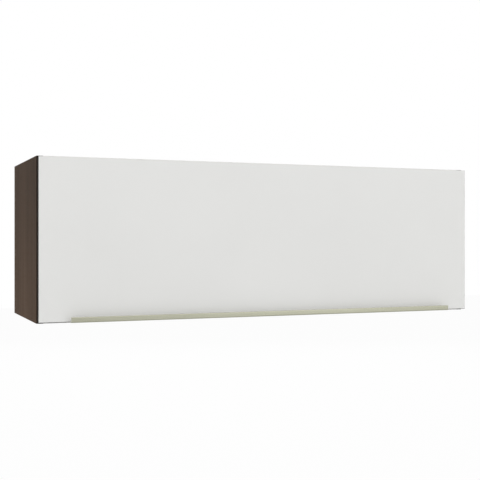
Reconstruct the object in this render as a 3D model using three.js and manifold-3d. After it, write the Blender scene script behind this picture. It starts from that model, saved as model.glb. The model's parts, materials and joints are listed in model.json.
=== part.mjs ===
// A wall cabinet with one wide lift-up door.
// Boards in dark wood and white, a door hung on knuckle hinges, a lifting linkage at each end
// and an aluminium lip along the door's lower edge to pull it by.
//
// Millimetres, +Z up. The front faces -Y and +X runs to the right, seen from the front.
// The origin lies on the wall, in the middle of the upper hanging rail's back face.

import * as THREE from "three";
import { mergeVertices } from "three/addons/utils/BufferGeometryUtils.js";
import Module from "manifold-3d";

const wasm = await Module();
wasm.setup();

// ---- Driving dimensions ----

// Cabinet boards
const CABINET_WIDTH = 1200;
const CABINET_HEIGHT = 397;
const CABINET_DEPTH = 350; // boards only, without the door
const BOARD = 16;
const BACK_BOARD = 3;
const GROOVE_DEPTH = 7;
const GROOVE_CLEARANCE = 0.2;
const RAIL_HEIGHT = 80;
const RAIL_THICKNESS = 16;
const BOARD_EDGE_BAND = 1; // on the front edges of the boards

// Cam locks that draw the boards together
const CAM_RADIUS = 7.5;
const CAM_DEPTH = 12.5;
const CAM_FROM_END = 24;
const CAM_FRONT_SETBACK = 50;
const CAM_REAR_SETBACK = 60;
const CAM_SLOT_LENGTH = 9;
const CAM_SLOT_WIDTH = 1.6;
const CAM_SLOT_DEPTH = 3;
const CAM_BOLT_RADIUS = 3;
const CAM_BOLT_ROOM = 1; // round the bolt's shank in the panel's end
const CAM_THREAD_RADIUS = 2.5;
const CAM_THREAD_DEPTH = 11; // in the side panel

// Door and the gaps round it
const DOOR_THICKNESS = 16;
const DOOR_GAP = 3; // from the door's back to the front of the boards
const SIDE_REVEAL = 1.5;
const TOP_REVEAL = 2.5;
const BOTTOM_REVEAL = 3;
const EDGE_BAND = 1;

// Knuckle hinges
const HINGE_COUNT = 3;
const HINGE_END_DISTANCE = 150; // from the cabinet's end to the middle of the outer hinges
const HINGE_LENGTH = 60;
const HINGE_SHEET = 1.6;
const HINGE_PIN_RADIUS = 1.7;
const KNUCKLE_RADIUS = 4;
const BOARD_LEAF_DEPTH = 38;
const DOOR_LEAF_LENGTH = 40;
const BOARD_LEAF_SCREW = 20; // from the front of the boards
const DOOR_LEAF_SCREW = 24; // below the hinge axis
const SCREW_HOLE_RADIUS = 2.2;
const SCREW_PITCH = 40;
const LEAF_CORNER = 7;

// Lifting linkage at each end of the door
const LIFT_PIVOT_BACK = 64; // from the hinge axis to the lever's pivot
const LIFT_PIVOT_DROP = 44;
const DOOR_PIVOT_BACK = 17.8; // from the hinge axis to the pivot on the door
const DOOR_PIVOT_DROP = 120;
const BASE_PLATE = 2;
const HOUSING_WIDTH = 12;
const HOUSING_NOSE = 20; // how far the housing runs in front of the lever's pivot
const HOUSING_TAIL = 130;
const HOUSING_RISE = 22;
const HOUSING_DROP = 44;
const HOUSING_NOSE_DROP = 14;
const HOUSING_CORNER = 9;
const HOUSING_FRONT_CORNER = 3;
const BASE_PLATE_RIM = 5;
const PLATE_EAR_RADIUS = 8;
const PLATE_EAR_REACH = 11; // from the housing's outline to the ear's hole
const PLATE_EAR_SETBACK = 12; // from the housing's corner along its edge
const ADJUSTER_RADIUS = 3;
const ADJUSTER_LENGTH = 22;
const ADJUSTER_SUNK = 1.5;
const ADJUSTER_SLOT_WIDTH = 1.2;
const ADJUSTER_SLOT_DEPTH = 2;
const COVER_THICKNESS = 2.5;
const COVER_EDGE = 1;
const COVER_INSET = 1.5;
const COVER_DIMPLE_RADIUS = 10; // over the lever's pivot
const COVER_MARK_DEPTH = 0.8; // of the dimple and the grooves
const COVER_GROOVES = 4;
const COVER_GROOVE_WIDTH = 1.6;
const COVER_GROOVE_PITCH = 4;
const COVER_GROOVE_END = 12; // from the housing's end and edges to the grooves
const LEVER_THICKNESS = 3;
const LEVER_HUB_RADIUS = 11;
const LEVER_TIP_RADIUS = 8;
const LINK_THICKNESS = 2.5;
const LINK_END_RADIUS = 7.5;
const LINK_SLOT_WIDTH = 5;
const LINK_SLOT_MARGIN = 19; // from either pivot to the slot's end
const PIVOT_PIN_RADIUS = 4;
const RIVET_RADIUS = 3;
const RIVET_HEAD_RADIUS = 5;
const RIVET_HEAD = 1.2;
const BRACKET_SHEET = 2.5;
const BRACKET_HEIGHT = 60;
const BRACKET_WIDTH = 30;
const BRACKET_EAR_FOOT = 40;
const BRACKET_BEND = 3.5; // outside the fold
const BRACKET_CORNER = 6;

// Handle lip, its foot let into the edge band under the door
const HANDLE_LENGTH = 1052;
const HANDLE_REACH = 24; // in front of the door's face
const HANDLE_RISE = 12.2; // above the foot's upper face
const HANDLE_WALL = 1.2;
const HANDLE_FOOT = 13; // how far the foot runs under the door
const HANDLE_FOOT_ROOM = 0.3; // round the foot in the edge band
const HANDLE_BEND = 2.8;
const HANDLE_BEAD = 2.6;
const HANDLE_SCREW_COUNT = 4;
const HANDLE_SCREW_END = 90;
const HANDLE_SCREW_LENGTH = 18;
const HANDLE_SCREW_RADIUS = 1.75;
const HANDLE_SCREW_HEAD = 2.95;

// Rubber buffers on the door's back
const BUFFER_RADIUS = 5;
const BUFFER_SKIRT = 0.8;
const BUFFER_CROWN = 1.5; // radius of the flat on the dome
const BUFFER_RISE = 30;

// Clearances
const RUNNING = 0.3; // round pins and between turning plates
const KNUCKLE_ROOM = 0.6; // round the knuckles in the door's rebate
const LEAF_SUNK = 0.2; // a door leaf below the face it is let into
const OVERSHOOT = 1; // how far a cutting tool runs past a face
const ARC_STEPS = 5;
const ROUND_STEPS = 20;
const BORE_STEPS = 12; // round what is small or hidden

// ---- Planes worked out from them ----

const CABINET_END = CABINET_WIDTH / 2;
const INNER_END = CABINET_END - BOARD;
const CABINET_TOP = BOARD + RAIL_HEIGHT / 2;
const CABINET_BOTTOM = CABINET_TOP - CABINET_HEIGHT;
const CABINET_FRONT = -CABINET_DEPTH;
const BOARD_FRONT = CABINET_FRONT + BOARD_EDGE_BAND;
const CAM_ROWS = [CABINET_FRONT + CAM_FRONT_SETBACK, -CAM_REAR_SETBACK];
const INNER_TOP = CABINET_TOP - BOARD;
const INNER_BOTTOM = CABINET_BOTTOM + BOARD;
const GROOVE_WIDTH = BACK_BOARD + 2 * GROOVE_CLEARANCE;
const GROOVE_MIDDLE = -RAIL_THICKNESS - GROOVE_WIDTH / 2;

const DOOR_BACK = CABINET_FRONT - DOOR_GAP;
const DOOR_FRONT = DOOR_BACK - DOOR_THICKNESS;
const DOOR_TOP = CABINET_TOP - TOP_REVEAL;
const DOOR_BOTTOM = CABINET_BOTTOM + BOTTOM_REVEAL;
const DOOR_WIDTH = CABINET_WIDTH - 2 * SIDE_REVEAL;
const HANDLE_SEAT = DOOR_BOTTOM + EDGE_BAND;

// The hinge axis lies in the door's upper back corner, so that the corner turns within the gap.
const AXIS_INSET = KNUCKLE_RADIUS - HINGE_SHEET - LEAF_SUNK;
const AXIS_DROP = KNUCKLE_RADIUS + LEAF_SUNK;
const HINGE_AXIS_Y = DOOR_BACK - AXIS_INSET;
const HINGE_AXIS_Z = DOOR_TOP - AXIS_DROP;

// ---- Materials ----

const darkWood = new THREE.MeshStandardMaterial({ color: 0x4e4138, roughness: 0.6 });
const whiteBoard = new THREE.MeshStandardMaterial({ color: 0xe9e8e4, roughness: 0.55 });
const rawBoard = new THREE.MeshStandardMaterial({ color: 0xb99a70, roughness: 0.85 });
const doorWhite = new THREE.MeshStandardMaterial({ color: 0xe6e6e4, roughness: 0.35 });
const darkBand = new THREE.MeshStandardMaterial({ color: 0x241f19, roughness: 0.5 });
const champagne = new THREE.MeshStandardMaterial({ color: 0xb9b8a2, roughness: 0.35, metalness: 0.8 });
const steel = new THREE.MeshStandardMaterial({ color: 0xb4b7ba, roughness: 0.3, metalness: 0.9 });
const zinc = new THREE.MeshStandardMaterial({ color: 0x9a9c9e, roughness: 0.45, metalness: 0.8 });
const housingGrey = new THREE.MeshStandardMaterial({ color: 0x8b8d90, roughness: 0.55 });
const greyPlastic = new THREE.MeshStandardMaterial({ color: 0xc9cacb, roughness: 0.5 });
const rubber = new THREE.MeshStandardMaterial({ color: 0xd8d8d2, roughness: 0.7 });

// ---- Solids ----

function toSolid(geometry) {
  const bare = geometry.clone();
  bare.deleteAttribute("normal");
  bare.deleteAttribute("uv");
  const merged = mergeVertices(bare, 1e-4);
  return new wasm.Manifold(
    new wasm.Mesh({
      numProp: 3,
      vertProperties: merged.attributes.position.array,
      triVerts: new Uint32Array(merged.index.array),
    }),
  );
}

function toGeometry(solid) {
  const mesh = solid.getMesh();
  const shared = new THREE.BufferGeometry();
  shared.setAttribute("position", new THREE.BufferAttribute(mesh.vertProperties, 3));
  shared.setIndex(new THREE.BufferAttribute(mesh.triVerts, 1));
  const geometry = shared.toNonIndexed();
  geometry.computeVertexNormals();
  return geometry;
}

// Joins the pieces of a list, trims them to what lies inside every blank of another list,
// then cuts the tools from them.
function shaped(pieces, tools = [], blanks = []) {
  let solid = toSolid(pieces[0]);
  for (const piece of pieces.slice(1)) solid = solid.add(toSolid(piece));
  for (const blank of blanks) solid = solid.intersect(toSolid(blank));
  for (const tool of tools) solid = solid.subtract(toSolid(tool));
  return toGeometry(solid);
}

// A box from its low corner to its high corner.
function box(low, high) {
  const geometry = new THREE.BoxGeometry(high[0] - low[0], high[1] - low[1], high[2] - low[2]);
  geometry.translate((low[0] + high[0]) / 2, (low[1] + high[1]) / 2, (low[2] + high[2]) / 2);
  return geometry;
}

// A flat outline, drawn in x and y, made solid between two depths along z.
function slab(outline, from, to) {
  const geometry = new THREE.ExtrudeGeometry(outline, {
    depth: Math.abs(to - from),
    bevelEnabled: false,
    curveSegments: ARC_STEPS,
  });
  geometry.translate(0, 0, Math.min(from, to));
  return geometry;
}

// A flat outline, drawn in x and z, made solid between two heights along y.
function lyingSlab(outline, low, high) {
  const geometry = slab(outline, -high, -low);
  geometry.rotateX(Math.PI / 2);
  return geometry;
}

// A flat outline, drawn in z and y, made solid between two places along x.
function facingSlab(outline, from, to) {
  const geometry = slab(outline, -to, -from);
  geometry.rotateY(-Math.PI / 2);
  return geometry;
}

// A round rod along x, at y and z, between two places.
function crossRod(y, z, radius, from, to) {
  const geometry = new THREE.CylinderGeometry(radius, radius, Math.abs(to - from), BORE_STEPS);
  geometry.rotateZ(Math.PI / 2);
  geometry.translate((from + to) / 2, y, z);
  return geometry;
}

// A round rod along z, at x and y, between two depths.
function rod(x, y, radius, from, to) {
  const geometry = new THREE.CylinderGeometry(radius, radius, Math.abs(to - from), ROUND_STEPS);
  geometry.rotateX(Math.PI / 2);
  geometry.translate(x, y, (from + to) / 2);
  return geometry;
}

function rectangle(left, bottom, right, top) {
  const outline = new THREE.Shape();
  outline.moveTo(left, bottom);
  outline.lineTo(right, bottom);
  outline.lineTo(right, top);
  outline.lineTo(left, top);
  outline.closePath();
  return outline;
}

function roundedRectangle(left, bottom, right, top, round) {
  const corners = [[left, bottom], [right, bottom], [right, top], [left, top]];
  return roundedOutline(corners.map(([x, y]) => new THREE.Vector2(x, y)), round);
}

// A bar with round ends, from one centre to another.
function barOutline(start, end, startRadius, endRadius) {
  const run = new THREE.Vector2().subVectors(end, start);
  const heading = run.angle();
  const flank = Math.acos((startRadius - endRadius) / run.length());
  const outline = new THREE.Shape();
  outline.absarc(start.x, start.y, startRadius, heading + flank, heading - flank + 2 * Math.PI);
  outline.absarc(end.x, end.y, endRadius, heading - flank, heading + flank);
  outline.closePath();
  return outline;
}

function punch(outline, centre, radius) {
  outline.holes.push(new THREE.Path().absarc(centre.x, centre.y, radius, 0, 2 * Math.PI, true));
}

// A closed outline through corners, each rounded off by a length of its own or by the first one.
function roundedOutline(corners, ...rounds) {
  const outline = new THREE.Shape();
  corners.forEach((corner, i) => {
    const before = corners[(i + corners.length - 1) % corners.length];
    const after = corners[(i + 1) % corners.length];
    const round = rounds[i] ?? rounds[0];
    const enter = corner.clone().add(before.clone().sub(corner).setLength(round));
    const leave = corner.clone().add(after.clone().sub(corner).setLength(round));
    if (i === 0) outline.moveTo(enter.x, enter.y);
    else outline.lineTo(enter.x, enter.y);
    outline.quadraticCurveTo(corner.x, corner.y, leave.x, leave.y);
  });
  outline.closePath();
  return outline;
}

function piece(name, geometry, material) {
  const mesh = new THREE.Mesh(geometry, material);
  mesh.name = name;
  return mesh;
}

// A group whose drawing plane stands upright across the cabinet:
// its x runs to the back, its y runs up and its z runs to the right.
function section(x, y, z) {
  const group = new THREE.Group();
  group.quaternion.set(0.5, 0.5, 0.5, 0.5);
  group.position.set(x, y, z);
  return group;
}

// ---- Boards ----

function backGroove(xLow, xHigh, zLow, zHigh) {
  const half = GROOVE_WIDTH / 2;
  return box([xLow, GROOVE_MIDDLE - half, zLow], [xHigh, GROOVE_MIDDLE + half, zHigh]);
}

function sidePanel(name, side) {
  const inner = side * INNER_END;
  const outer = side * CABINET_END;
  const panel = box(
    [Math.min(inner, outer), BOARD_FRONT, CABINET_BOTTOM],
    [Math.max(inner, outer), 0, CABINET_TOP],
  );
  const floor = inner + side * GROOVE_DEPTH;
  const mouth = inner - side * OVERSHOOT;
  const groove = backGroove(
    Math.min(floor, mouth),
    Math.max(floor, mouth),
    INNER_BOTTOM - GROOVE_DEPTH,
    INNER_TOP + GROOVE_DEPTH,
  );
  const tools = [groove];
  const bore = inner + side * (CAM_THREAD_DEPTH + RUNNING);
  for (const z of [CABINET_TOP - BOARD / 2, CABINET_BOTTOM + BOARD / 2]) {
    for (const y of CAM_ROWS) tools.push(crossRod(y, z, CAM_THREAD_RADIUS + RUNNING, mouth, bore));
  }
  return piece(name, shaped([panel], tools), darkWood);
}

// Where the cam locks sit: left and right, near the front and near the back.
function camPlaces() {
  const places = [];
  for (const [side, sideName] of [[-1, "left"], [1, "right"]]) {
    const x = side * (INNER_END - CAM_FROM_END);
    places.push({ label: sideName + "_front", side, x, y: CAM_ROWS[0] });
    places.push({ label: sideName + "_rear", side, x, y: CAM_ROWS[1] });
  }
  return places;
}

// facing is 1 for the top panel, whose cam locks open upwards, and -1 for the bottom panel.
function levelPanel(name, facing) {
  const low = facing > 0 ? INNER_TOP : CABINET_BOTTOM;
  const inside = facing > 0 ? INNER_TOP : INNER_BOTTOM;
  const outside = facing > 0 ? CABINET_TOP : CABINET_BOTTOM;
  const panel = box([-INNER_END, BOARD_FRONT, low], [INNER_END, 0, low + BOARD]);
  const floor = inside + facing * GROOVE_DEPTH;
  const mouth = inside - facing * OVERSHOOT;
  const end = INNER_END + OVERSHOOT;
  const tools = [backGroove(-end, end, Math.min(floor, mouth), Math.max(floor, mouth))];
  for (const place of camPlaces()) {
    const seat = outside - facing * CAM_DEPTH;
    tools.push(rod(place.x, place.y, CAM_RADIUS + RUNNING, seat, outside + facing * OVERSHOOT));
    const bore = CAM_BOLT_RADIUS + CAM_BOLT_ROOM;
    tools.push(crossRod(place.y, low + BOARD / 2, bore, place.x, place.side * end));
  }
  return piece(name, shaped([panel], tools), whiteBoard);
}

// A die-cast disc that is turned with a cross-head driver, holding the bolt that it pulls
// out of the side panel.
function camLock(name, facing, side) {
  const halfLength = CAM_SLOT_LENGTH / 2;
  const halfWidth = CAM_SLOT_WIDTH / 2;
  const face = facing * CAM_DEPTH;
  const floor = face - facing * CAM_SLOT_DEPTH;
  const mouth = face + facing * OVERSHOOT;
  const low = Math.min(floor, mouth);
  const high = Math.max(floor, mouth);
  const tools = [
    box([-halfLength, -halfWidth, low], [halfLength, halfWidth, high]),
    box([-halfWidth, -halfLength, low], [halfWidth, halfLength, high]),
  ];
  const bolt = facing * (CAM_DEPTH - BOARD / 2);
  const panelEnd = side * CAM_FROM_END;
  const tip = panelEnd + side * CAM_THREAD_DEPTH;
  const pieces = [
    rod(0, 0, CAM_RADIUS, 0, face),
    crossRod(0, bolt, CAM_BOLT_RADIUS, 0, panelEnd),
    crossRod(0, bolt, CAM_THREAD_RADIUS, 0, tip),
  ];
  return piece(name, shaped(pieces, tools), zinc);
}

function boards() {
  const group = new THREE.Group();
  group.add(sidePanel("side_panel_left", -1));
  group.add(sidePanel("side_panel_right", 1));
  group.add(levelPanel("top_panel", 1));
  group.add(levelPanel("bottom_panel", -1));

  for (const [name, xLow, xHigh, zLow, zHigh, material] of [
    ["side_edge_left", -CABINET_END, -INNER_END, CABINET_BOTTOM, CABINET_TOP, darkWood],
    ["side_edge_right", INNER_END, CABINET_END, CABINET_BOTTOM, CABINET_TOP, darkWood],
    ["top_edge", -INNER_END, INNER_END, INNER_TOP, CABINET_TOP, whiteBoard],
    ["bottom_edge", -INNER_END, INNER_END, CABINET_BOTTOM, INNER_BOTTOM, whiteBoard],
  ]) {
    const band = box([xLow, CABINET_FRONT, zLow], [xHigh, BOARD_FRONT, zHigh]);
    group.add(piece(name, band, material));
  }

  const reach = GROOVE_DEPTH - GROOVE_CLEARANCE;
  const back = new THREE.BoxGeometry(
    2 * (INNER_END + reach),
    BACK_BOARD,
    INNER_TOP - INNER_BOTTOM + 2 * reach,
  );
  const backPanel = piece("back_panel", back, whiteBoard);
  backPanel.position.set(0, GROOVE_MIDDLE, (INNER_TOP + INNER_BOTTOM) / 2);
  group.add(backPanel);

  for (const [name, middle] of [
    ["hanging_rail_upper", INNER_TOP - RAIL_HEIGHT / 2],
    ["hanging_rail_lower", INNER_BOTTOM + RAIL_HEIGHT / 2],
  ]) {
    const rail = new THREE.BoxGeometry(2 * INNER_END, RAIL_THICKNESS, RAIL_HEIGHT);
    const mesh = piece(name, rail, rawBoard);
    mesh.position.set(0, -RAIL_THICKNESS / 2, middle);
    group.add(mesh);
  }

  for (const [level, facing, outside] of [
    ["top", 1, CABINET_TOP],
    ["bottom", -1, CABINET_BOTTOM],
  ]) {
    for (const place of camPlaces()) {
      const cam = camLock("cam_lock_" + level + "_" + place.label, facing, place.side);
      cam.position.set(place.x, place.y, outside - facing * CAM_DEPTH);
      group.add(cam);
    }
  }
  return group;
}

// ---- Hinges ----
// Drawn in a section round the hinge axis.

function hingePlaces() {
  const first = -CABINET_END + HINGE_END_DISTANCE;
  const step = (-2 * first) / (HINGE_COUNT - 1);
  return Array.from({ length: HINGE_COUNT }, (_, i) => first + i * step);
}

const KNUCKLE_BORE = HINGE_PIN_RADIUS + RUNNING;
const KNUCKLE_SHARE = HINGE_LENGTH / 3;

function knuckle(from, to) {
  return rod(0, 0, KNUCKLE_RADIUS, from, to);
}

// A pair of screw holes through a sheet, upright or lying along x.
function screwHoles(sheet, lying, place) {
  return [-SCREW_PITCH / 2, SCREW_PITCH / 2].map((along) => {
    const length = sheet + 2 * OVERSHOOT;
    const drill = new THREE.CylinderGeometry(SCREW_HOLE_RADIUS, SCREW_HOLE_RADIUS, length, ROUND_STEPS);
    if (lying) drill.rotateZ(Math.PI / 2);
    drill.translate(...place(along));
    return drill;
  });
}

// The cranked leaf: flat under the top panel, then up through the gap to two of the knuckles.
function boardLeaf(name) {
  const half = HINGE_LENGTH / 2;
  const inner = KNUCKLE_SHARE / 2;
  const seat = INNER_TOP - HINGE_AXIS_Z;
  const edge = CABINET_FRONT - HINGE_AXIS_Y;
  const front = KNUCKLE_RADIUS - HINGE_SHEET;
  const under = seat - HINGE_SHEET;
  const flange = slab(rectangle(front, under, edge + BOARD_LEAF_DEPTH, seat), -half, half);
  const stop = -KNUCKLE_RADIUS - RUNNING;
  const riser = slab(rectangle(front, under, KNUCKLE_RADIUS, stop), -half, half);
  const arm = rectangle(front, under, KNUCKLE_RADIUS, 0);
  const pieces = [flange, riser];
  for (const [from, to] of [[-half, -inner], [inner, half]]) {
    pieces.push(slab(arm, from, to), knuckle(from, to));
  }
  const tools = [
    rod(0, 0, KNUCKLE_BORE, -half - OVERSHOOT, half + OVERSHOOT),
    ...screwHoles(HINGE_SHEET, false, (along) => [
      edge + BOARD_LEAF_SCREW,
      seat - HINGE_SHEET / 2,
      along,
    ]),
  ];
  const ahead = -KNUCKLE_RADIUS - LEAF_CORNER - OVERSHOOT;
  const plan = roundedRectangle(ahead, -half, edge + BOARD_LEAF_DEPTH, half, LEAF_CORNER);
  const blank = lyingSlab(plan, under - OVERSHOOT, KNUCKLE_RADIUS + OVERSHOOT);
  return piece(name, shaped(pieces, tools, [blank]), steel);
}

// The straight leaf: let into the door's back, with the knuckle between the other two.
function doorLeaf(name) {
  const half = HINGE_LENGTH / 2;
  const inner = KNUCKLE_SHARE / 2 - RUNNING;
  const front = AXIS_INSET - LEAF_SUNK - HINGE_SHEET;
  const back = front + HINGE_SHEET;
  const stop = -KNUCKLE_RADIUS - RUNNING;
  const leaf = slab(rectangle(front, -DOOR_LEAF_LENGTH, back, stop), -half, half);
  const neck = slab(rectangle(front, -DOOR_LEAF_LENGTH, back, 0), -inner, inner);
  const tools = [
    rod(0, 0, KNUCKLE_BORE, -inner - OVERSHOOT, inner + OVERSHOOT),
    ...screwHoles(HINGE_SHEET, true, (along) => [
      front + HINGE_SHEET / 2,
      -DOOR_LEAF_SCREW,
      along,
    ]),
  ];
  const high = KNUCKLE_RADIUS + LEAF_CORNER + OVERSHOOT;
  const face = roundedRectangle(-half, -DOOR_LEAF_LENGTH, half, high, LEAF_CORNER);
  const blank = facingSlab(face, -KNUCKLE_RADIUS - OVERSHOOT, KNUCKLE_RADIUS + OVERSHOOT);
  return piece(name, shaped([leaf, neck, knuckle(-inner, inner)], tools, [blank]), steel);
}

function hinges() {
  const group = new THREE.Group();
  hingePlaces().forEach((x, i) => {
    const hinge = section(x, HINGE_AXIS_Y, HINGE_AXIS_Z);
    const half = HINGE_LENGTH / 2;
    hinge.add(boardLeaf("hinge_board_leaf_" + (i + 1)));
    hinge.add(doorLeaf("hinge_door_leaf_" + (i + 1)));
    hinge.add(piece("hinge_pin_" + (i + 1), rod(0, 0, HINGE_PIN_RADIUS, -half, half), steel));
    group.add(hinge);
  });
  return group;
}

// ---- Lifting linkage ----
// The lever and the line from the hinge axis to the door pivot are parallel and equally long,
// and so are the link and the line from the hinge axis to the lever's pivot. The linkage stays a
// parallelogram, so the lever turns by the door's own angle and the link never tilts.

const LEVER_PIVOT = new THREE.Vector2(LIFT_PIVOT_BACK, -LIFT_PIVOT_DROP);
const DOOR_PIVOT = new THREE.Vector2(DOOR_PIVOT_BACK, -DOOR_PIVOT_DROP);
const KNEE_PIVOT = LEVER_PIVOT.clone().add(DOOR_PIVOT);

// Depths from the side panel's inner face towards the middle of the cabinet.
const HOUSING_FACE = BASE_PLATE + HOUSING_WIDTH;
const LEVER_MIDDLE = BASE_PLATE + HOUSING_WIDTH / 2;
const LEVER_NEAR = LEVER_MIDDLE - LEVER_THICKNESS / 2;
const LEVER_FAR = LEVER_MIDDLE + LEVER_THICKNESS / 2;
const LINK_NEAR = LEVER_FAR + RUNNING;
const LINK_FAR = LINK_NEAR + LINK_THICKNESS;
const EAR_NEAR = LINK_FAR + RUNNING;
const EAR_FAR = EAR_NEAR + BRACKET_SHEET;

const HOUSING_FRONT = LEVER_PIVOT.x - HOUSING_NOSE;
const HOUSING_REAR = LEVER_PIVOT.x + HOUSING_TAIL;
const HOUSING_TOP = LEVER_PIVOT.y + HOUSING_RISE;
const HOUSING_BOTTOM = LEVER_PIVOT.y - HOUSING_DROP;
const SLOT_TOP = LEVER_PIVOT.y + LEVER_HUB_RADIUS + 2 * RUNNING;
const ADJUSTER_HEIGHT = (HOUSING_TOP + SLOT_TOP) / 2;

// The housing's outline, drawn in by an inset or, below zero, out by a rim.
function housingOutline(inset) {
  const front = HOUSING_FRONT + inset;
  const rear = HOUSING_REAR - inset;
  const top = HOUSING_TOP - inset;
  const bottom = HOUSING_BOTTOM + inset;
  const corners = [
    new THREE.Vector2(front, LEVER_PIVOT.y - HOUSING_NOSE_DROP),
    new THREE.Vector2(LEVER_PIVOT.x + HOUSING_NOSE, bottom),
    new THREE.Vector2(rear, bottom),
    new THREE.Vector2(rear, top),
    new THREE.Vector2(front, top),
  ];
  const common = HOUSING_CORNER;
  return roundedOutline(corners, common, common, common, common, HOUSING_FRONT_CORNER);
}

// The slot that the lever swings in: open to the front and below.
function leverSlot(inward) {
  const lean = (DOOR_PIVOT_BACK / DOOR_PIVOT_DROP) * HOUSING_DROP;
  const rear = LEVER_PIVOT.x + lean + LEVER_HUB_RADIUS + 2 * RUNNING;
  const front = HOUSING_FRONT - OVERSHOOT;
  const bottom = LEVER_PIVOT.y - HOUSING_DROP - OVERSHOOT;
  return slab(
    rectangle(front, bottom, rear, SLOT_TOP),
    inward * (LEVER_NEAR - RUNNING),
    inward * (LEVER_FAR + RUNNING),
  );
}

// The screw that sets the spring force, in the housing's front end above the slot.
// Grown by a clearance, and then run out through the front, it is also its own bore.
function adjusterBody(inward, clearance) {
  const from = HOUSING_FRONT + (clearance > 0 ? -OVERSHOOT : ADJUSTER_SUNK);
  const to = HOUSING_FRONT + ADJUSTER_SUNK + ADJUSTER_LENGTH + clearance;
  return crossRod(ADJUSTER_HEIGHT, inward * LEVER_MIDDLE, ADJUSTER_RADIUS + clearance, from, to);
}

function adjuster(name, inward) {
  const face = HOUSING_FRONT + ADJUSTER_SUNK;
  const half = ADJUSTER_SLOT_WIDTH / 2;
  const depth = inward * LEVER_MIDDLE;
  const reach = ADJUSTER_RADIUS + OVERSHOOT;
  const slot = box(
    [face - OVERSHOOT, ADJUSTER_HEIGHT - half, depth - reach],
    [face + ADJUSTER_SLOT_DEPTH, ADJUSTER_HEIGHT + half, depth + reach],
  );
  return piece(name, shaped([adjusterBody(inward, 0)], [slot]), steel);
}

function housing(name, inward) {
  const body = slab(housingOutline(0), inward * BASE_PLATE, inward * HOUSING_FACE);
  const bore = rod(
    LEVER_PIVOT.x,
    LEVER_PIVOT.y,
    PIVOT_PIN_RADIUS + RUNNING,
    inward * (BASE_PLATE - OVERSHOOT),
    inward * (HOUSING_FACE + OVERSHOOT),
  );
  const tools = [leverSlot(inward), bore, adjusterBody(inward, RUNNING)];
  return piece(name, shaped([body], tools), housingGrey);
}

// Each ear of the base plate: where its screw goes, and where it grows from.
function plateEars() {
  const ears = [HOUSING_TOP - PLATE_EAR_SETBACK, HOUSING_BOTTOM + PLATE_EAR_SETBACK].map((y) => ({
    hole: new THREE.Vector2(HOUSING_REAR + PLATE_EAR_REACH, y),
    root: new THREE.Vector2(HOUSING_REAR - PLATE_EAR_RADIUS, y),
  }));
  const slopeTop = new THREE.Vector2(HOUSING_FRONT, LEVER_PIVOT.y - HOUSING_NOSE_DROP);
  const slopeEnd = new THREE.Vector2(LEVER_PIVOT.x + HOUSING_NOSE, HOUSING_BOTTOM);
  const slope = slopeEnd.clone().sub(slopeTop).normalize();
  const outward = new THREE.Vector2(slope.y, -slope.x);
  const start = slopeTop.clone().addScaledVector(slope, PLATE_EAR_SETBACK);
  ears.push({
    hole: start.clone().addScaledVector(outward, PLATE_EAR_REACH),
    root: start.clone().addScaledVector(outward, -PLATE_EAR_RADIUS),
  });
  return ears;
}

function basePlate(name, inward) {
  const face = inward * BASE_PLATE;
  const pieces = [slab(housingOutline(-BASE_PLATE_RIM), 0, face)];
  const tools = [];
  for (const { hole, root } of plateEars()) {
    pieces.push(slab(barOutline(root, hole, PLATE_EAR_RADIUS, PLATE_EAR_RADIUS), 0, face));
    tools.push(
      rod(hole.x, hole.y, SCREW_HOLE_RADIUS, -inward * OVERSHOOT, face + inward * OVERSHOOT),
    );
  }
  return piece(name, shaped(pieces, tools), steel);
}

// A moulded cover with a rounded edge, seated on the housing's face.
function housingCover(name, inward) {
  const geometry = new THREE.ExtrudeGeometry(housingOutline(COVER_INSET + COVER_EDGE), {
    depth: COVER_THICKNESS - 2 * COVER_EDGE,
    bevelThickness: COVER_EDGE,
    bevelSize: COVER_EDGE,
    bevelSegments: 3,
    curveSegments: ARC_STEPS,
  });
  const low = Math.min(inward * HOUSING_FACE, inward * (HOUSING_FACE + COVER_THICKNESS));
  geometry.translate(0, 0, low + COVER_EDGE);
  const face = inward * (HOUSING_FACE + COVER_THICKNESS);
  const floor = face - inward * COVER_MARK_DEPTH;
  const mouth = face + inward * OVERSHOOT;
  const tools = [rod(LEVER_PIVOT.x, LEVER_PIVOT.y, COVER_DIMPLE_RADIUS, floor, mouth)];
  for (let i = 0; i < COVER_GROOVES; i++) {
    const x = HOUSING_REAR - COVER_GROOVE_END - i * COVER_GROOVE_PITCH;
    const low = new THREE.Vector2(x, HOUSING_BOTTOM + COVER_GROOVE_END);
    const high = new THREE.Vector2(x, HOUSING_TOP - COVER_GROOVE_END);
    const half = COVER_GROOVE_WIDTH / 2;
    tools.push(slab(barOutline(low, high, half, half), floor, mouth));
  }
  return piece(name, shaped([geometry], tools), greyPlastic);
}

function lever(name, inward) {
  const outline = barOutline(LEVER_PIVOT, KNEE_PIVOT, LEVER_HUB_RADIUS, LEVER_TIP_RADIUS);
  punch(outline, LEVER_PIVOT, PIVOT_PIN_RADIUS + RUNNING);
  punch(outline, KNEE_PIVOT, RIVET_RADIUS + RUNNING);
  return piece(name, slab(outline, inward * LEVER_NEAR, inward * LEVER_FAR), steel);
}

function link(name, inward) {
  const outline = barOutline(KNEE_PIVOT, DOOR_PIVOT, LINK_END_RADIUS, LINK_END_RADIUS);
  punch(outline, KNEE_PIVOT, RIVET_RADIUS + RUNNING);
  punch(outline, DOOR_PIVOT, RIVET_RADIUS + RUNNING);
  const margin = DOOR_PIVOT.clone().sub(KNEE_PIVOT).setLength(LINK_SLOT_MARGIN);
  const slotStart = KNEE_PIVOT.clone().add(margin);
  const slotEnd = DOOR_PIVOT.clone().sub(margin);
  outline.holes.push(barOutline(slotStart, slotEnd, LINK_SLOT_WIDTH / 2, LINK_SLOT_WIDTH / 2));
  return piece(name, slab(outline, inward * LINK_NEAR, inward * LINK_FAR), steel);
}

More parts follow.
